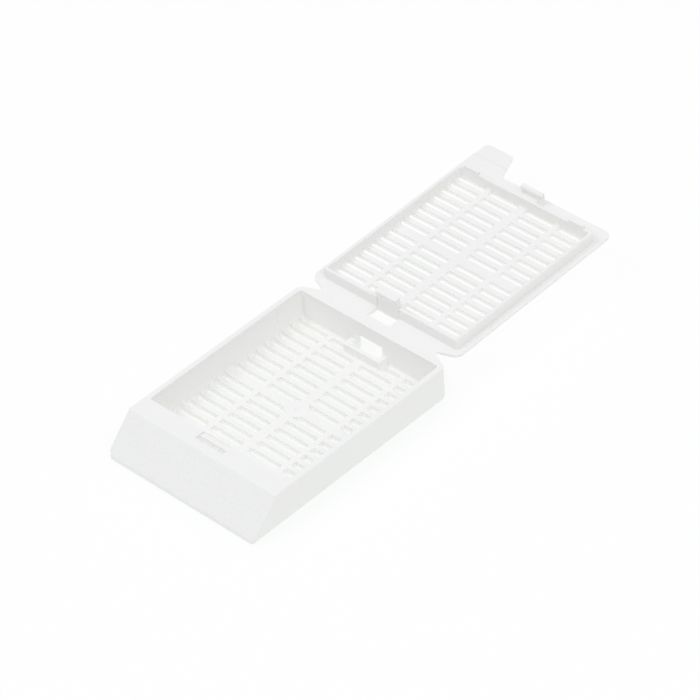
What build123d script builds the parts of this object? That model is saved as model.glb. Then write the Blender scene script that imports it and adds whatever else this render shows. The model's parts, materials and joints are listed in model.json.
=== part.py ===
from build123d import *
import os
from math import acos, atan2, cos, hypot, radians, sin, tan

# Slotted tissue cassette: a tray with a sloped writing end and a lid on a living hinge.
# Millimetres. X runs across the width, Y from the writing end to the hinge and lid, +Z up.
# The origin is the middle of the tray's underside. The lid stands open, almost flat behind the tray.

os.makedirs("parts", exist_ok=True)

# ---- Tray ----
width = 28.5  # across the side walls, and across the lid
tray_length = 39.8  # writing end to back wall, on the underside
tray_height = 5.9
side_wall = 0.85  # at the rim
back_wall = 0.78
front_wall = 0.8  # between the tissue space and the hollow writing end
floor_thickness = 0.95
wall_draft = 1.5  # degrees, inside the tissue space
top_band = 3.25  # flat strip between the opening and the writing panel
panel_angle = 46.4  # degrees
panel_thickness = 1.0
band_thickness = 0.95
lip_height = 0.75  # upright edge below the writing panel
back_corner = 1.0  # radius of the tray's upright corners at the hinge
front_corner = 0.8
foot_round = 0.7  # edge round of the underside, all but the writing end
rim_round = 0.08
panel_edge_round = 0.35
cavity_corner = 0.4
foot_fillet = 0.9  # inside, along the two long walls

# ---- Slots ----
slot_width = 1.0
slot_bar = 0.83  # between neighbouring slots
rows_per_group = 8
tray_cross_bar = 1.6  # wide bar across the middle
tray_centre_rib = 1.48
tray_side_rib = 0.9
tray_side_rib_x = 7.1
tray_slot_wall_gap = 0.1  # end of the outer slots to the wall at the floor
lid_cross_bar = 1.66
lid_centre_rib = 1.5
lid_side_rib = 0.83
lid_side_rib_x = 6.67
lid_slot_end = 12.6  # outer end of the outer slots

# ---- Gate mark and rim keepers ----
gate_pad_radius = 1.8
gate_radius = 0.45
gate_height = 0.12
keeper_depth = 2.05  # centre of the small upright bumps below the rim
keeper_length = 1.3
keeper_width = 0.8
keeper_proud = 0.12
keeper_spacing = 22.5
keeper_shift = -0.8  # towards the writing end

# ---- Living hinge ----
ledge = 1.27  # fold line to the outside of the back wall
ledge_thickness = 0.75
hinge_half = 0.35  # half the width of the thin film
film_thickness = 0.3
film_half_length = 11.1  # fold line ends, at the bottom of the side notches
ledge_notch_run = 0.3  # the notch widens by this much to the ledge's side of the film
lid_notch_run = 0.5  # and to the lid's side
closed_gap = 0.1  # between the tray's rim and the closed lid
lid_lift = 1.7  # degrees that the open lid stands above flat

# ---- Lid ----
lid_length = 35.12  # fold line to the lid's free edge
lid_thickness = 0.7
lid_corner = 1.2
lid_shoulder = 1.4  # where the notch's straight edge would meet the lid's side
lid_shoulder_round = 1.5
lid_edge_round = 0.45  # lower edge of the lid, its outside when closed
plug_height = 1.79  # ring wall that drops into the tray
plug_wall = 0.5
plug_right_gap = 0.2  # beside the long wall at +X
plug_left_gap = 0.67  # beside the long wall under the finger tab
plug_back_gap = 0.1  # beside the back wall
plug_front_gap = 0.7  # beside the front wall
plug_corner = 0.35
plug_inner_corner = 0.3
plug_foot_fillet = 0.6
plug_rim_round = 0.15  # both upper edges of the ring wall
lug_inner, lug_outer = 8.75, 11.6  # distance of the two lugs from the middle
lug_height = 0.52  # above the ring wall
lug_corner = 0.3
pad_half, pad_depth = 2.07, 0.4  # thicker stretch of ring wall beside the front latch

# ---- Finger tab ----
tab_length = 4.8
tab_width_root = 7.1
tab_width_tip = 5.3
tab_outer_corner = 0.75
tab_inner_corner = 0.8
tab_step = 1.6  # free edge of the lid to the step across the tab
tab_step_run = 0.6
tab_step_drop = 0.15

# ---- Latches ----
latch_half = 2.0
latch_slit = 0.17
latch_bevel = 0.1
rear_thickness = 0.6
rear_height = 3.5
rear_nose_height = 3.3  # underside of the hook at its tip
rear_nose_reach = 0.4
rear_undercut = 0.85  # slope of the hook's underside
rear_running_gap = 0.14
rear_window_half = 2.55
rear_window_clearance = 0.09
front_thickness = 0.52
front_height = 2.1
front_nose_height = 1.72  # underside of the hook at its tip
front_nose_reach = 0.34
front_undercut = 0.42
front_running_gap = 0.06
pocket_half = 2.7
pocket_length = 1.02
bar_drop = 0.3  # top of the catch bar below the rim
catch_clearance = 0.08
catch_depth = 0.4  # relief below the catch bar

# ---- Dam round the rear opening in the floor ----
dam_half = 3.5
dam_wall = 0.9
dam_front_wall = 0.6
dam_height = 1.37
dam_reach = 1.3  # clear space between the back wall and the dam

# ---- Places worked out from the sizes above ----
half_width = width / 2
back_y = tray_length / 2
front_y = -tray_length / 2
fold_y = back_y + ledge
panel_run = (tray_height - lip_height) / tan(radians(panel_angle))
panel_top_y = front_y + panel_run
opening_front_y = panel_top_y + top_band
opening_back_y = back_y - back_wall
opening_length = opening_back_y - opening_front_y
opening_centre_y = (opening_back_y + opening_front_y) / 2
opening_half = half_width - side_wall
cavity_depth = tray_height - floor_thickness
draft_inset = cavity_depth * tan(radians(wall_draft))
floor_half = opening_half - draft_inset
hinge_z = tray_height + closed_gap / 2
pitch = slot_width + slot_bar

plug_near_y = (fold_y - opening_back_y) + plug_back_gap
rear_face_y = (fold_y - opening_back_y) + rear_running_gap
plug_far_y = (fold_y - opening_front_y) - plug_front_gap
plug_right = opening_half - plug_right_gap
plug_left = plug_left_gap - opening_half
latch_face_y = fold_y - opening_front_y + front_wall + front_running_gap
front_foot_height = front_nose_height - front_undercut * (1 - front_running_gap / front_nose_reach)
catch_z = tray_height + closed_gap - front_foot_height + catch_clearance
rear_wall_gap = rear_running_gap - rear_nose_height * tan(radians(wall_draft))
rear_foot_height = rear_nose_height - rear_undercut * (1 - rear_wall_gap / rear_nose_reach)
window_top_z = tray_height + closed_gap - rear_foot_height + rear_window_clearance


def box(x0, x1, y0, y1, z0, z1):
    """A block between two corners."""
    block = Box(x1 - x0, y1 - y0, z1 - z0)
    return Pos((x0 + x1) / 2, (y0 + y1) / 2, (z0 + z1) / 2) * block


def across(points, half, middle=0):
    """A side profile of (y, z) points, extruded both ways across the width."""
    outline = make_face(Polyline(*[(middle, y, z) for y, z in points], close=True))
    return extrude(outline, half, dir=(1, 0, 0), both=True)


def slot_rows(cross_bar):
    """Centre of each row of slots, measured from the middle of the wide cross bar."""
    first = cross_bar / 2 + slot_width / 2
    rows = [first + n * pitch for n in range(rows_per_group)]
    return [-y for y in reversed(rows)] + rows


def slot_columns(centre_rib, side_rib, side_rib_x, outer_end):
    """(start, end) of each column of slots across the width."""
    inner = (centre_rib / 2, side_rib_x - side_rib / 2)
    outer = (side_rib_x + side_rib / 2, outer_end)
    right = [inner, outer]
    return [(-end, -start) for start, end in reversed(right)] + right


def slot_cutters(columns, rows, middle_y, z0, z1):
    """One cutter for each slot of a grid."""
    cutters = []
    for x0, x1 in columns:
        for y in rows:
            near = middle_y + y - slot_width / 2
            cutters.append(box(x0, x1, near, near + slot_width, z0, z1))
    return cutters


def tray_shell():
    """The tray's outside: a rounded outline under a side profile with the sloped writing end."""
    side = [
        (back_y + 1, -1), (front_y, -1), (front_y, lip_height), (panel_top_y, tray_height),
        (back_y + 1, tray_height),
    ]
    outline = Rectangle(width, tray_length)
    outline = fillet(outline.vertices().group_by(Axis.Y)[-1], back_corner)
    shell = extrude(outline, tray_height)
    foot = shell.faces().sort_by(Axis.Z)[0].edges().sort_by(Axis.Y)[1:]
    shell = fillet(foot, foot_round)
    outline = fillet(outline.vertices().group_by(Axis.Y)[0], front_corner)
    shell = shell & extrude(outline, tray_height) & across(side, half_width + 1)
    shell = fillet(shell.edges().filter_by(Axis.X).group_by(Axis.Z)[-1].sort_by(Axis.Y)[0], panel_edge_round)
    return fillet(shell.faces().sort_by(Axis.Z)[-1].edges().filter_by(Axis.Y), rim_round)


def tissue_space():
    """The drafted space that holds the tissue, with filleted feet along the long walls."""
    top = tray_height + 1
    spread = (top - floor_thickness) * tan(radians(wall_draft))
    floor_front = opening_front_y + draft_inset
    floor_back = opening_back_y - draft_inset
    side = [
        (floor_front, floor_thickness), (floor_back, floor_thickness),
        (floor_back + spread, top), (floor_front - spread, top),
    ]
    section = make_face(Polyline(
        (-floor_half, 0, floor_thickness), (floor_half, 0, floor_thickness),
        (floor_half + spread, 0, top), (-floor_half - spread, 0, top), close=True,
    ))
    section = fillet(section.vertices().group_by(Axis.Z)[0], foot_fillet)
    space = extrude(section, tray_length, dir=(0, 1, 0), both=True) & across(side, half_width)
    corners = space.edges().filter_by(lambda e: abs(e.tangent_at(0.5).Z) > 0.9)
    return fillet(corners, cavity_corner)


def writing_end_hollow():
    """The hollow under the top band and the writing panel, open on the underside."""
    inner_back = opening_front_y - front_wall
    slope = tan(radians(panel_angle))
    under_panel = panel_thickness / cos(radians(panel_angle))
    top_z = tray_height - band_thickness
    corner_y = panel_top_y + (under_panel - band_thickness) / slope
    foot_y = front_y + panel_thickness
    foot_z = top_z - (corner_y - foot_y) * slope
    points = [(inner_back, -1), (inner_back, top_z), (corner_y, top_z), (foot_y, foot_z), (foot_y, -1)]
    return across(points, half_width - side_wall)


def front_catch():
    """Cutters for the front latch: the pocket through the band, the lowered bar and the relief below it."""
    bar_face = opening_front_y - front_wall
    pocket = box(
        -pocket_half, pocket_half, bar_face - pocket_length, bar_face,
        tray_height - band_thickness - 1, tray_height + 1,
    )
    lowered = box(
        -pocket_half, pocket_half, bar_face - 0.01, opening_front_y + 1,
        tray_height - bar_drop, tray_height + 1,
    )
    relief = box(-pocket_half, pocket_half, bar_face - 0.01, bar_face + catch_depth, -1, catch_z)
    return [pocket, lowered, relief]


def rear_dam():
    """The low wall round the floor opening, standing against the back wall."""
    front = opening_back_y - dam_reach - dam_front_wall
    return box(-dam_half, dam_half, front, opening_back_y + 0.2, 0, floor_thickness + dam_height)


def rear_window():
    """Cutters for the floor opening inside the dam and the catch window in the back wall."""
    inside = opening_back_y - dam_reach
    opening = box(
        dam_wall - dam_half, dam_half - dam_wall, inside, opening_back_y - draft_inset / 2,
        -1, tray_height - 1,
    )
    window = box(
        -rear_window_half, rear_window_half, opening_back_y - dam_reach / 2, back_y + 1,
        -1, window_top_z,
    )
    return [opening, window]


def hinge_ledge():
    """The thin flange behind the back wall that carries the film, with a tongue between the two films.

    Each end runs straight from the side notch to the tray's rounded corner, which it meets smoothly.
    """
    tip = (film_half_length + ledge_notch_run, fold_y - hinge_half)
    middle = (half_width - back_corner, back_y - back_corner)
    reach = hypot(tip[0] - middle[0], tip[1] - middle[1])
    lean = atan2(tip[1] - middle[1], tip[0] - middle[0]) - acos(back_corner / reach)
    foot = (middle[0] + back_corner * cos(lean), middle[1] + back_corner * sin(lean))
    inside = back_y - back_wall / 2
    points = [
        (-middle[0], inside), (middle[0], inside), foot, tip, (-tip[0], tip[1]), (-foot[0], foot[1]),
    ]
    flange = extrude(
        Pos(0, 0, tray_height - ledge_thickness) * make_face(Polyline(*points, close=True)), ledge_thickness
    )
    tongue_half = latch_half + latch_slit
    tongue = box(
        -tongue_half, tongue_half, inside, fold_y - 0.05, tray_height - ledge_thickness, tray_height
    )
    return flange + tongue


def keepers():
    """Four small upright bumps on the long walls that keep the closed lid's ring wall in."""
    bumps = []
    z = tray_height - keeper_depth
    wall_x = opening_half - keeper_depth * tan(radians(wall_draft))
    for side in (-1, 1):
        for end in (-1, 1):
            pad = SlotOverall(keeper_length, keeper_width)
            bump = extrude(pad, keeper_proud + 0.3)
            bump = chamfer(bump.faces().sort_by(Axis.Z)[-1].edges(), keeper_proud - 0.01)
            y = opening_centre_y + keeper_shift + end * keeper_spacing / 2
            bumps.append(Pos(side * (wall_x + 0.3), y, z) * Rot(0, -90 * side, 0) * bump)
    return bumps


def make_tray():
    tray = tray_shell() - tissue_space() - writing_end_hollow()
    columns = slot_columns(
        tray_centre_rib, tray_side_rib, tray_side_rib_x, floor_half - tray_slot_wall_gap
    )
    rows = slot_rows(tray_cross_bar)
    tray -= slot_cutters(columns, rows, opening_centre_y, -1, floor_thickness + foot_fillet)
    tray += rear_dam()
    tray += hinge_ledge()
    tray -= rear_window()
    tray -= front_catch()
    tray += Pos(0, opening_centre_y, floor_thickness / 2) * Cylinder(gate_pad_radius, floor_thickness)
    tray += Pos(0, opening_centre_y, floor_thickness) * Cylinder(gate_radius, 2 * gate_height)
    tray += keepers()
    return tray


def lid_outline():
    """The lid's flat outline with its finger tab, drawn flat from the fold line."""
    tip = film_half_length + lid_notch_run
    points = [
        (-tip, hinge_half), (tip, hinge_half), (half_width, lid_shoulder), (half_width, lid_length),
        (tab_width_root - half_width, lid_length),
        (tab_width_tip - half_width, lid_length + tab_length),
        (-half_width, lid_length + tab_length), (-half_width, lid_shoulder),
    ]
    outline = make_face(Polyline(*points, close=True))

    def corner(x, y):
        return outline.vertices().sort_by_distance((x, y, 0))[0]

    outline = fillet(corner(half_width, lid_length), lid_corner)
    outline = fillet(corner(tab_width_root - half_width, lid_length), 0.5)
    outline = fillet(corner(tab_width_tip - half_width, lid_length + tab_length), tab_inner_corner)
    outline = fillet(corner(-half_width, lid_length + tab_length), tab_outer_corner)
    outline = fillet(corner(half_width, lid_shoulder), lid_shoulder_round)
    outline = fillet(corner(-half_width, lid_shoulder), lid_shoulder_round)
    return outline


def plug_ring():
    """The ring wall that fits inside the tray's rim, and the filleted space inside it."""
    centre = ((plug_left + plug_right) / 2, (plug_near_y + plug_far_y) / 2)
    across_x = plug_right - plug_left
    along_y = plug_far_y - plug_near_y
    outer = RectangleRounded(across_x, along_y, plug_corner)
    ring = extrude(Pos(*centre, -lid_thickness / 2) * outer, plug_height + lid_thickness / 2)
    inner = Rectangle(across_x - 2 * plug_wall, along_y - 2 * plug_wall)
    well = extrude(Pos(*centre, 0) * inner, plug_height + 1)
    well = fillet(well.faces().sort_by(Axis.Z)[0].edges(), plug_foot_fillet)
    well = fillet(well.edges().filter_by(Axis.Z), plug_inner_corner)
    return ring, well


def lugs():
    """Two raised stretches of ring wall with rounded upper corners, near the ends of the far side."""
    raised = []
    for side in (-1, 1):
        x0, x1 = sorted((side * lug_inner, side * lug_outer))
        lug = box(x0, x1, plug_far_y - plug_wall, plug_far_y, 0, plug_height + lug_height)
        raised.append(fillet(lug.edges().filter_by(Axis.Y).group_by(Axis.Z)[-1], lug_corner))
    return raised


def rear_latch():
    """The hooked tab beside the fold: it swings under the catch window's top edge."""
    face = rear_face_y
    nose = face - rear_nose_reach
    back = face + rear_thickness
    points = [
        (face, -lid_thickness), (face, rear_nose_height - rear_undercut),
        (nose, rear_nose_height), (nose + latch_bevel, rear_height - latch_bevel),
        (back - latch_bevel, rear_height), (back, rear_height - latch_bevel), (back, -lid_thickness),
    ]
    return across(points, latch_half)


def front_latch():
    """The hooked tab near the free edge: it drops through the pocket and under the catch bar."""
    face = latch_face_y
    nose = face - front_nose_reach
    back = face + front_thickness
    points = [
        (face, -lid_thickness), (face, front_nose_height - front_undercut),
        (nose, front_nose_height), (nose, front_nose_height + latch_bevel),
        (face - front_nose_reach / 2, front_height - latch_bevel / 2), (face, front_height),
        (back - latch_bevel, front_height), (back, front_height - latch_bevel), (back, -lid_thickness),
    ]
    return across(points, latch_half)


def make_flat_lid():
    """The lid with its inner side up and its fold line on the X axis."""
    plate = extrude(Pos(0, 0, -lid_thickness) * lid_outline(), lid_thickness)
    plate = fillet(plate.faces().sort_by(Axis.Z)[0].edges(), lid_edge_round)
    ring, well = plug_ring()
    pad = box(-pad_half, pad_half, plug_far_y - plug_wall, plug_far_y + pad_depth, -0.2, plug_height)
    columns = slot_columns(lid_centre_rib, lid_side_rib, lid_side_rib_x, lid_slot_end)
    rows = slot_rows(lid_cross_bar)
    middle = (plug_near_y + plug_far_y) / 2
    inside = box(
        plug_left + plug_wall, plug_right - plug_wall, plug_near_y + plug_wall, plug_far_y - plug_wall,
        -lid_thickness, plug_height,
    )
    wall = ring - well
    wall = fillet(wall.faces().sort_by(Axis.Z)[-1].edges(), plug_rim_round)
    lid = plate + wall + pad + lugs()
    lid -= slot_cutters(columns, rows, middle, -lid_thickness - 1, 0)
    lid -= [slot & inside for slot in slot_cutters(columns, rows, middle, -0.1, plug_foot_fillet)]
    window = latch_half + latch_slit
    lid -= box(-window, window, -1, plug_near_y + plug_wall, 0, plug_height + 1)
    lid -= box(-window, window, -1, rear_face_y, -lid_thickness - 1, 1)
    lid += rear_latch()
    lid -= box(-latch_half, latch_half, plug_far_y + pad_depth + 0.05, latch_face_y, -lid_thickness - 1, 0.5)
    lid += front_latch()
    step = lid_length + tab_step
    lid -= across(
        [(step, 0), (step + tab_step_run, -tab_step_drop), (lid_length + tab_length + 1, -tab_step_drop),
         (lid_length + tab_length + 1, 1), (step, 1)], half_width + 1,
    )
    return lid


def make_lid():
    """The lid in its open place behind the tray."""
    lifted = Pos(0, fold_y, hinge_z) * Rot(lid_lift, 0, 0) * Pos(0, 0, tray_height - hinge_z)
    return lifted * make_flat_lid()


def make_living_hinge():
    """The two thin films that join tray and lid, one each side of the rear latch's opening."""
    lift = radians(lid_lift)

    def lifted(y, z):
        up = z - closed_gap / 2
        return (fold_y + y * cos(lift) - up * sin(lift), hinge_z + y * sin(lift) + up * cos(lift))

    points = [
        (fold_y - hinge_half, tray_height), (fold_y - hinge_half, tray_height - film_thickness),
        lifted(hinge_half, -film_thickness), lifted(hinge_half, 0),
    ]
    start = latch_half + latch_slit
    near, far = fold_y - hinge_half, lifted(hinge_half, 0)[0]
    films = []
    for side in (-1, 1):
        plan = [
            (side * start, near), (side * (film_half_length + ledge_notch_run), near),
            (side * film_half_length, fold_y), (side * (film_half_length + lid_notch_run), far),
            (side * start, far),
        ]
        plan_face = make_face(Polyline(*plan, close=True))
        films.append(across(points, half_width) & extrude(plan_face, 2 * tray_height))
    return films


tray = make_tray()
lid = make_lid()
living_hinge = Compound(children=make_living_hinge())

export_step(tray, "parts/tray.step")
export_step(lid, "parts/lid.step")
export_step(living_hinge, "parts/living_hinge.step")
print("tray", round(tray.volume, 1), "lid", round(lid.volume, 1), "hinge", round(living_hinge.volume, 2))
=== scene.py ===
# %% [markdown]
# # A slotted tissue cassette in white acetal
#
# The real object is one injection moulding about as long as a thumb: a tray with a slotted floor and a
# sloped end to write on, a slotted lid, and two thin films of the same plastic that let the lid fold over.
# Nothing on it is painted or glued, so its whole look comes from form, soft light and one white plastic.
#
# The moulded shapes come from the CAD model, which holds every wall, slot, latch and rounding. Blender adds
# what CAD can't say: how the plastic takes light, the texture of the mould, a fine mesh for the thin film,
# and the studio around it.

# %% Load the moulded parts
import json
import math

import bmesh
import bpy
from mathutils import Matrix, Vector


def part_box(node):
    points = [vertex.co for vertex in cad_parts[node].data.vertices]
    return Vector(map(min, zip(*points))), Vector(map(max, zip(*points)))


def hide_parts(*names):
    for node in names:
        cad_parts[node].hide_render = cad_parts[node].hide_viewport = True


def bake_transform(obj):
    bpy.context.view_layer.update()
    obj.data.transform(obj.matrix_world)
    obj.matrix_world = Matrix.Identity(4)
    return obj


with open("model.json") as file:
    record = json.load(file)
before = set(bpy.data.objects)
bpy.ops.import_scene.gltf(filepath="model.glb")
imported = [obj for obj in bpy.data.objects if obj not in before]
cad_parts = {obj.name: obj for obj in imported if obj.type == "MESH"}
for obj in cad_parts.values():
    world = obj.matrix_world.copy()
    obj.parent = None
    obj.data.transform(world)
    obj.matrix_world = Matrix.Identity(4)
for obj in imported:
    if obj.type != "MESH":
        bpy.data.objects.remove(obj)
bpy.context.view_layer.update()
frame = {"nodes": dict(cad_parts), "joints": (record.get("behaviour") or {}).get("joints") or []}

MM = 0.001
tray = frame["nodes"]["tray"]
lid = frame["nodes"]["lid"]
print("CAD nodes:", ", ".join(sorted(frame["nodes"])))

# %% [markdown]
# ## Places worked out from the frame
#
# The places below are measured from the tray's own box, the lid's joint and the film's box, so the details
# move with the CAD model when its size changes. The fold line is the lid's hinge axis. A few small sizes,
# such as half the opening between the two films, are written as numbers where they are used.

# %% Key places
tray_low, tray_high = (Vector(corner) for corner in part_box("tray"))
film_low, film_high = (Vector(corner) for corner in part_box("living_hinge"))
lid_joint = next(joint for joint in frame["joints"] if joint["child"] == "lid")
fold = Vector(lid_joint["pos_m"])
rim_z = tray_high.z
print("fold line, mm:", [round(value / MM, 2) for value in fold])

# %% [markdown]
# ## Shader arithmetic that reads like arithmetic
#
# A node tree made by hand soon becomes a page of links. This small class wraps one output socket and
# overloads the operators, so that `1 - mask` or `radius * 2` adds the Math node by itself. `Board` holds one
# tree of nodes, and its `node` method adds any other node from its type, its settings and its sockets.
# `Finish` is the board of one material.

# %% A socket that does sums, and a material that makes nodes
class Reading:
    """One number that varies over a surface: each operator adds a Math node."""

    def __init__(self, board, socket):
        self.board = board
        self.socket = socket

    def _sum(self, operation, left, right=0.0):
        node = self.board.node("ShaderNodeMath", {"operation": operation}, {0: left, 1: right})
        return Reading(self.board, node.outputs[0])

    def __add__(self, other):
        return self._sum("ADD", self, other)

    __radd__ = __add__

    def __sub__(self, other):
        return self._sum("SUBTRACT", self, other)

    def __rsub__(self, other):
        return self._sum("SUBTRACT", other, self)

    def __mul__(self, other):
        return self._sum("MULTIPLY", self, other)

    __rmul__ = __mul__

    def __truediv__(self, other):
        return self._sum("DIVIDE", self, other)

    def __rtruediv__(self, other):
        return self._sum("DIVIDE", other, self)

    def clipped(self):
        """Kept between 0 and 1."""
        low = self._sum("MAXIMUM", self, 0.0)
        return low._sum("MINIMUM", low, 1.0)

    def above(self, level, softness):
        """1 well above the level and 0 well below it, with a ramp as wide as softness."""
        return ((self - level) / softness + 0.5).clipped()

    def below(self, level, softness):
        return 1 - self.above(level, softness)


class Board:
    """A tree of nodes, with one way to add a node and one way to feed a socket."""

    def __init__(self, tree):
        self.tree = tree

    def node(self, kind, settings=(), sockets=()):
        made = self.tree.nodes.new(kind)
        for key, value in dict(settings).items():
            setattr(made, key, value)
        for key, value in dict(sockets).items():
            self.feed(made.inputs[key], value)
        return made

    def feed(self, socket, value):
        source = getattr(value, "socket", value)
        if isinstance(source, bpy.types.NodeSocket):
            self.tree.links.new(source, socket)
        else:
            socket.default_value = value

    def seen_directly(self):
        """1 where the camera looks at a thing itself, in a gloss or through glass, and 0 for its light."""
        path = self.node("ShaderNodeLightPath").outputs
        rays = [Reading(self, path[f"Is {kind} Ray"]) for kind in ("Camera", "Glossy", "Transmission")]
        return (rays[0] + rays[1] + rays[2]).clipped()


class Finish(Board):
    """One procedural material and the few node patterns that this object needs."""

    def __init__(self, name):
        self.material = bpy.data.materials.new(name)
        self.material.use_nodes = True
        super().__init__(self.material.node_tree)
        self.shader = self.tree.nodes["Principled BSDF"]

    def place(self):
        """The point on the object at rest, as a vector socket, and its y in millimetres."""
        where = self.node("ShaderNodeTexCoord").outputs["Object"]
        split = self.node("ShaderNodeSeparateXYZ", {}, {0: where})
        return where, Reading(self, split.outputs["Y"]) / MM

    def noise(self, where, size, detail=2.0, roughness=0.5):
        """Fractal noise between 0 and 1 whose lumps are about size metres wide."""
        made = self.node(
            "ShaderNodeTexNoise", {},
            {"Vector": where, "Scale": 1 / size, "Detail": detail, "Roughness": roughness},
        )
        return Reading(self, made.outputs["Fac"])

    def mix(self, share, first, second):
        """A colour between two colours."""
        made = self.node("ShaderNodeMix", {"data_type": "RGBA"}, {0: share, 6: first, 7: second})
        return made.outputs[2]

    def bump(self, height, distance, under=None):
        """Relief in metres: height times distance, laid over the relief under it."""
        sockets = {"Height": height, "Distance": distance, "Strength": 1.0}
        if under is not None:
            sockets["Normal"] = under
        return self.node("ShaderNodeBump", {}, sockets).outputs["Normal"]


print("shader helpers ready")

# %% [markdown]
# ## White acetal
#
# Acetal is a milky white with a dull, slightly waxy skin. It sends back nearly all the light that falls on
# it, and a trace less of the blue. One bounce looks white, but light that has gone from wall to wall inside
# the tray has lost enough blue to look faintly olive. So the colour is set very light and a little warm, and
# the shading in the hollows comes from the bounces. Painting it on would look wrong under any other light.
#
# The mould leaves three marks: a very fine matte skin, slow cloudy flow in the white, and a coarser grain
# where the surface is meant to be written on. They could be painted on image maps, but noise placed by the
# object's own coordinates is sharper, needs no unwrapping, and stays on the plastic when the lid moves.

# %% Colours and skin of the plastic
WHITE = (0.95, 0.95, 0.931, 1.0)
CLOUD = (0.94, 0.94, 0.92, 1.0)
SKIN_GRAIN = 0.15 * MM
SKIN_RELIEF = 0.002 * MM
SKIN_ROUGH = 0.42
SKIN_ROUGH_SPREAD = 0.08
CLOUD_SIZE = 7.0 * MM
CLOUD_EDGE = 0.5
NOISE_MIDDLE = 0.5  # noise lies between 0 and 1, on both sides of this
ACETAL_IOR = 1.48


def acetal(name):
    """The plastic that every piece shares: warm white with slow clouds and a fine matte skin."""
    finish = Finish(name)
    finish.where, finish.y = finish.place()
    cloud = finish.noise(finish.where, CLOUD_SIZE, detail=3.0)
    finish.colour = finish.mix(cloud.above(NOISE_MIDDLE, CLOUD_EDGE), CLOUD, WHITE)
    finish.skin = finish.noise(finish.where, SKIN_GRAIN, detail=1.0)
    finish.rough = finish.skin * SKIN_ROUGH_SPREAD + SKIN_ROUGH
    finish.relief = finish.bump(finish.skin, SKIN_RELIEF)
    return finish


def wire(finish):
    """Joins the finished colour, roughness and relief to the shader."""
    finish.shader.inputs["IOR"].default_value = ACETAL_IOR
    finish.feed(finish.shader.inputs["Base Color"], finish.colour)
    finish.feed(finish.shader.inputs["Roughness"], finish.rough)
    finish.feed(finish.shader.inputs["Normal"], finish.relief)


tray_finish = acetal("acetal_tray")
lid_finish = acetal("acetal_lid")
film_finish = acetal("acetal_film")
print("finishes:", ", ".join(material.name for material in bpy.data.materials))

# %% Writing grain on the sloped panel
PANEL_GRAIN = 0.19 * MM
PANEL_RELIEF = 0.02 * MM
PANEL_ROUGHER = 0.2
PANEL_LEAN = 0.5  # a face counts as the panel when its normal leans and rises by more than this
PANEL_EDGE = 0.2
BLOTCH_EDGE = 0.22
PANEL_FROM_FILM = 30.0  # millimetres from the film to where the grain may begin
PANEL_DARK = (0.903, 0.903, 0.887, 1.0)


def roughen_panel(finish):
    """Blotchy grain where a face leans towards the writing end, as an eroded mould leaves it."""
    facing = finish.node("ShaderNodeNewGeometry").outputs["Normal"]
    turned = finish.node(
        "ShaderNodeVectorTransform",
        {"vector_type": "NORMAL", "convert_from": "WORLD", "convert_to": "OBJECT"},
        {0: facing},
    )
    split = finish.node("ShaderNodeSeparateXYZ", {}, {0: turned.outputs[0]})
    leaning = Reading(finish, split.outputs["Y"]).below(-PANEL_LEAN, PANEL_EDGE)
    rising = Reading(finish, split.outputs["Z"]).above(PANEL_LEAN, PANEL_EDGE)
    outside = finish.y.below(film_low.y / MM - PANEL_FROM_FILM, 1.0)
    on_panel = leaning * rising * outside
    blotch = finish.noise(finish.where, PANEL_GRAIN, detail=2.0, roughness=0.6)
    dark = on_panel * blotch.above(NOISE_MIDDLE, BLOTCH_EDGE)
    finish.colour = finish.mix(dark, finish.colour, PANEL_DARK)
    finish.rough = finish.rough + on_panel * PANEL_ROUGHER
    finish.relief = finish.bump(blotch * on_panel, PANEL_RELIEF, under=finish.relief)


roughen_panel(tray_finish)
print("writing grain, mm:", PANEL_GRAIN / MM)

# %% Wire the shaders
for finish in (tray_finish, lid_finish, film_finish):
    wire(finish)
print("shaders wired")

# %% Lay the finishes on the CAD nodes
def dress(node, finish):
    node.data.materials.clear()
    node.data.materials.append(finish.material)


dress(tray, tray_finish)
dress(lid, lid_finish)
print("dressed:", tray.name, lid.name)

# %% [markdown]
# ## The thin film
#
# Between tray and lid the plastic is squeezed to a film about 0.3 mm thick, in two strips with the latch's
# opening between them. In the CAD model each strip is a rigid bar, which would tear away from the lid as the
# lid turns. Here it is a fine strip of mesh from the tray's ledge to the lid's edge, thinnest along the fold.

# %% Build the two films
FILM_THICKNESS = 0.3 * MM
FOLD_THICKNESS = 0.2 * MM
FOLD_DIP = 0.03 * MM
TONGUE_HALF = 2.17 * MM
LEDGE_NOTCH_RUN = 0.3 * MM
LID_NOTCH_RUN = 0.5 * MM
FILM_ROWS = 16
LID_LIFT = 1.7  # degrees that the open lid stands above flat
film_span = film_high.y - film_low.y
notch_x = film_high.x - LID_NOTCH_RUN
lift = math.radians(LID_LIFT)


def film_end(y):
    """How far the film reaches from the middle: least at the fold, the bottom of the side notch."""
    run = 2 * (y - fold.y) / film_span
    return notch_x + (LID_NOTCH_RUN * run if run > 0 else -LEDGE_NOTCH_RUN * run)


def film_section(rows):
    """Top and bottom points of the film in the Y-Z plane, from the tray's side to the lid's."""
    top, bottom = [], []
    half = film_span / 2
    for row in range(rows + 1):
        run = -half + film_span * row / rows
        rise = max(run, 0.0) * math.tan(lift)
        groove = math.cos(math.pi * run / film_span) ** 4
        thickness = FILM_THICKNESS - (FILM_THICKNESS - FOLD_THICKNESS) * groove
        top.append((fold.y + run, rim_z + rise - FOLD_DIP * groove))
        bottom.append((fold.y + run, rim_z + rise - FOLD_DIP * groove - thickness))
    return top, bottom


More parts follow.
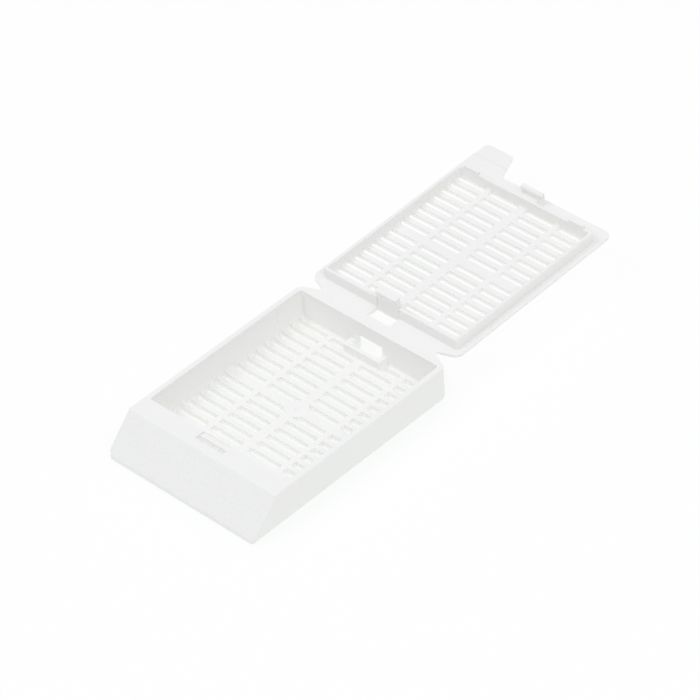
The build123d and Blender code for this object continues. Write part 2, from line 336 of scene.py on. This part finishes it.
def film_strip(mesh, side, columns=12):
    """One closed strip of film, from the tongue to the side notch at -X or +X."""
    top, bottom = film_section(FILM_ROWS)
    outline = top + bottom[::-1]
    rings = []
    for column in range(columns + 1):
        share = column / columns
        reach = [TONGUE_HALF + (film_end(y) - TONGUE_HALF) * share for y, _ in outline]
        rings.append([mesh.verts.new((side * x, y, z)) for x, (y, z) in zip(reach, outline)])
    count = len(outline)
    for ring, following in zip(rings, rings[1:]):
        for k in range(count):
            mesh.faces.new((ring[k], ring[(k + 1) % count], following[(k + 1) % count], following[k]))
    mesh.faces.new(rings[0][::-1])
    mesh.faces.new(rings[-1])


mesh = bmesh.new()
for side in (-1, 1):
    film_strip(mesh, side)
bmesh.ops.recalc_face_normals(mesh, faces=mesh.faces)
film_data = bpy.data.meshes.new("hinge_film")
mesh.to_mesh(film_data)
mesh.free()
film = bpy.data.objects.new("hinge_film", film_data)
bpy.context.collection.objects.link(film)
dress(film, film_finish)
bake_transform(film)
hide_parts("living_hinge")
print("film faces:", len(film_data.polygons))

# %% [markdown]
# ## The studio
#
# White plastic on white needs light from everywhere, with only a hint of direction, so that each wall is one
# small step darker than the next. The table glows like a light box and fills the slots from below, and close
# to the object it looks a shade darker. The sky is bright overhead and dimmer to the horizon, so upright
# faces are a little greyer than the rim. It is faintly blue, which the warm plastic turns to a neutral white.
# Two soft lamps, in front to the left and at the right, give the latches their short shadows.

# %% Floor
TABLE_GLOW = 1.0
PAPER_SHARE = 0.1
PAPER = (0.98, 0.98, 0.98, 1.0)
PAPER_ROUGH = 0.9
TABLE_LIGHT = (0.975, 1.0, 0.975, 1.0)
TABLE_SHADE = (0.92, 0.955, 0.925, 1.0)
SHADE_REACH = 6.0 * MM
TABLE_GAP = 0.02 * MM  # keeps the table clear of the tray's underside
PURE_WHITE = (1.0, 1.0, 1.0, 1.0)


def studio_floor(size=1.2):
    """A sheet of glowing paper that keeps a faint shadow close to the object."""
    mesh = bmesh.new()
    bmesh.ops.create_grid(mesh, x_segments=8, y_segments=8, size=size / 2)
    data = bpy.data.meshes.new("studio_floor")
    mesh.to_mesh(data)
    mesh.free()
    floor = bpy.data.objects.new("studio_floor", data)
    floor.location = (0.0, fold.y, tray_low.z - TABLE_GAP)
    bpy.context.collection.objects.link(floor)
    finish = Finish("studio_paper")
    finish.shader.inputs["Base Color"].default_value = PAPER
    finish.shader.inputs["Roughness"].default_value = PAPER_ROUGH
    seen = finish.seen_directly()
    open_sky = finish.node("ShaderNodeAmbientOcclusion", {"samples": 8}, {"Distance": SHADE_REACH})
    shade = finish.mix(open_sky.outputs["AO"], TABLE_SHADE, PURE_WHITE)
    tint = finish.mix(seen, TABLE_LIGHT, shade)
    glow = finish.node("ShaderNodeEmission", {}, {"Color": tint, "Strength": TABLE_GLOW})
    both = finish.node(
        "ShaderNodeMixShader", {}, {0: PAPER_SHARE, 1: glow.outputs[0], 2: finish.shader.outputs[0]}
    )
    output = finish.tree.nodes["Material Output"]
    finish.feed(output.inputs["Surface"], both.outputs[0])
    finish.material.cycles.emission_sampling = "NONE"
    data.materials.append(finish.material)
    return floor


floor = studio_floor()
print("floor at z, mm:", round(floor.location.z / MM, 3))

# %% Sky and lamps
SKY_OVERHEAD = 1.01
SKY_HORIZON = 0.29
SKY_TINT = (0.965, 0.967, 1.0, 1.0)


def studio_sky():
    """A world that is brightest overhead, and one even tint where the camera looks past the floor."""
    world = bpy.data.worlds.new("studio_sky")
    world.use_nodes = True
    board = Board(world.node_tree)
    direction = board.node("ShaderNodeTexCoord").outputs["Generated"]
    height = Reading(board, board.node("ShaderNodeSeparateXYZ", {}, {0: direction}).outputs["Z"])
    glow = height.clipped() * (SKY_OVERHEAD - SKY_HORIZON) + SKY_HORIZON
    seen = board.seen_directly()
    sky = board.tree.nodes["Background"]
    sky.inputs["Color"].default_value = SKY_TINT
    board.feed(sky.inputs["Strength"], seen * (1 - glow) + glow)
    world.cycles.sampling_method = "NONE"
    return world


bpy.context.scene.world = studio_sky()
print("sky, overhead and horizon:", SKY_OVERHEAD, SKY_HORIZON)


def soft_lamp(name, azimuth, elevation, distance, size, power):
    """A square lamp that looks at the middle of the object from a compass angle and a height."""
    turn, rise = math.radians(azimuth), math.radians(elevation)
    away = Vector(
        (math.sin(turn) * math.cos(rise), -math.cos(turn) * math.cos(rise), math.sin(rise))
    )
    lamp = bpy.data.lights.new(name, "AREA")
    lamp.energy = power
    lamp.size = size
    made = bpy.data.objects.new(name, lamp)
    made.location = Vector((0, fold.y, 0)) + away * distance
    made.rotation_mode = "QUATERNION"
    made.rotation_quaternion = (-away).to_track_quat("-Z", "Y")
    bpy.context.collection.objects.link(made)


soft_lamp("softbox_left", azimuth=-35, elevation=55, distance=0.6, size=0.2, power=0.4)
soft_lamp("softbox_right", azimuth=75, elevation=48, distance=0.6, size=0.3, power=0.48)

# %% [markdown]
# ## Light that bounces many times
#
# White plastic hands nearly all its light on to the next wall, and in a slot that can happen many times
# before the light comes out. Four bounces, Blender's usual number, would leave the hollows too dark.

# %% Bounces
bpy.context.scene.cycles.max_bounces = 20
bpy.context.scene.cycles.diffuse_bounces = 16
print("bounces between matte walls:", bpy.context.scene.cycles.diffuse_bounces)

# %% [markdown]
# ## The camera
#
# The lens is long, about 205 mm, so the far lid looks hardly smaller than the near tray. The camera looks
# down at about forty degrees, half way round from the writing end to the right side, and leans a little.

# %% Camera
AZIMUTH, ELEVATION, ROLL = 45.546, 40.459, -4.105
DISTANCE = 570.038 * MM
ACROSS, UP = -4.042 * MM, -4.236 * MM
LENS = 204.606
turn, rise, lean = (math.radians(angle) for angle in (AZIMUTH, ELEVATION, ROLL))
back = Vector(
    (math.sin(turn) * math.cos(rise), -math.cos(turn) * math.cos(rise), math.sin(rise))
)
level_right = Vector((math.cos(turn), math.sin(turn), 0.0))
level_up = back.cross(level_right)
right = level_right * math.cos(lean) + level_up * math.sin(lean)
up = level_up * math.cos(lean) - level_right * math.sin(lean)

camera_data = bpy.data.cameras.new("camera")
camera_data.lens = LENS
camera_data.sensor_width = 36.0
camera_data.clip_start = 0.01
camera_data.clip_end = 10.0
camera = bpy.data.objects.new("camera", camera_data)
fold_at_rim = Vector((0.0, fold.y, rim_z))
spot = fold_at_rim + back * DISTANCE + right * ACROSS + up * UP
axes = Matrix((right, up, back)).transposed().to_4x4()
camera.matrix_world = Matrix.Translation(spot) @ axes
bpy.context.collection.objects.link(camera)
bpy.context.scene.camera = camera
print("camera at, mm:", [round(value / MM, 1) for value in spot])

# %% [markdown]
# ## Colour handling
#
# Plain colour handling keeps each white as it was written. The dressed object has to stay inside the
# CAD model's box.

# %% Colour handling
bpy.context.scene.view_settings.view_transform = "Standard"
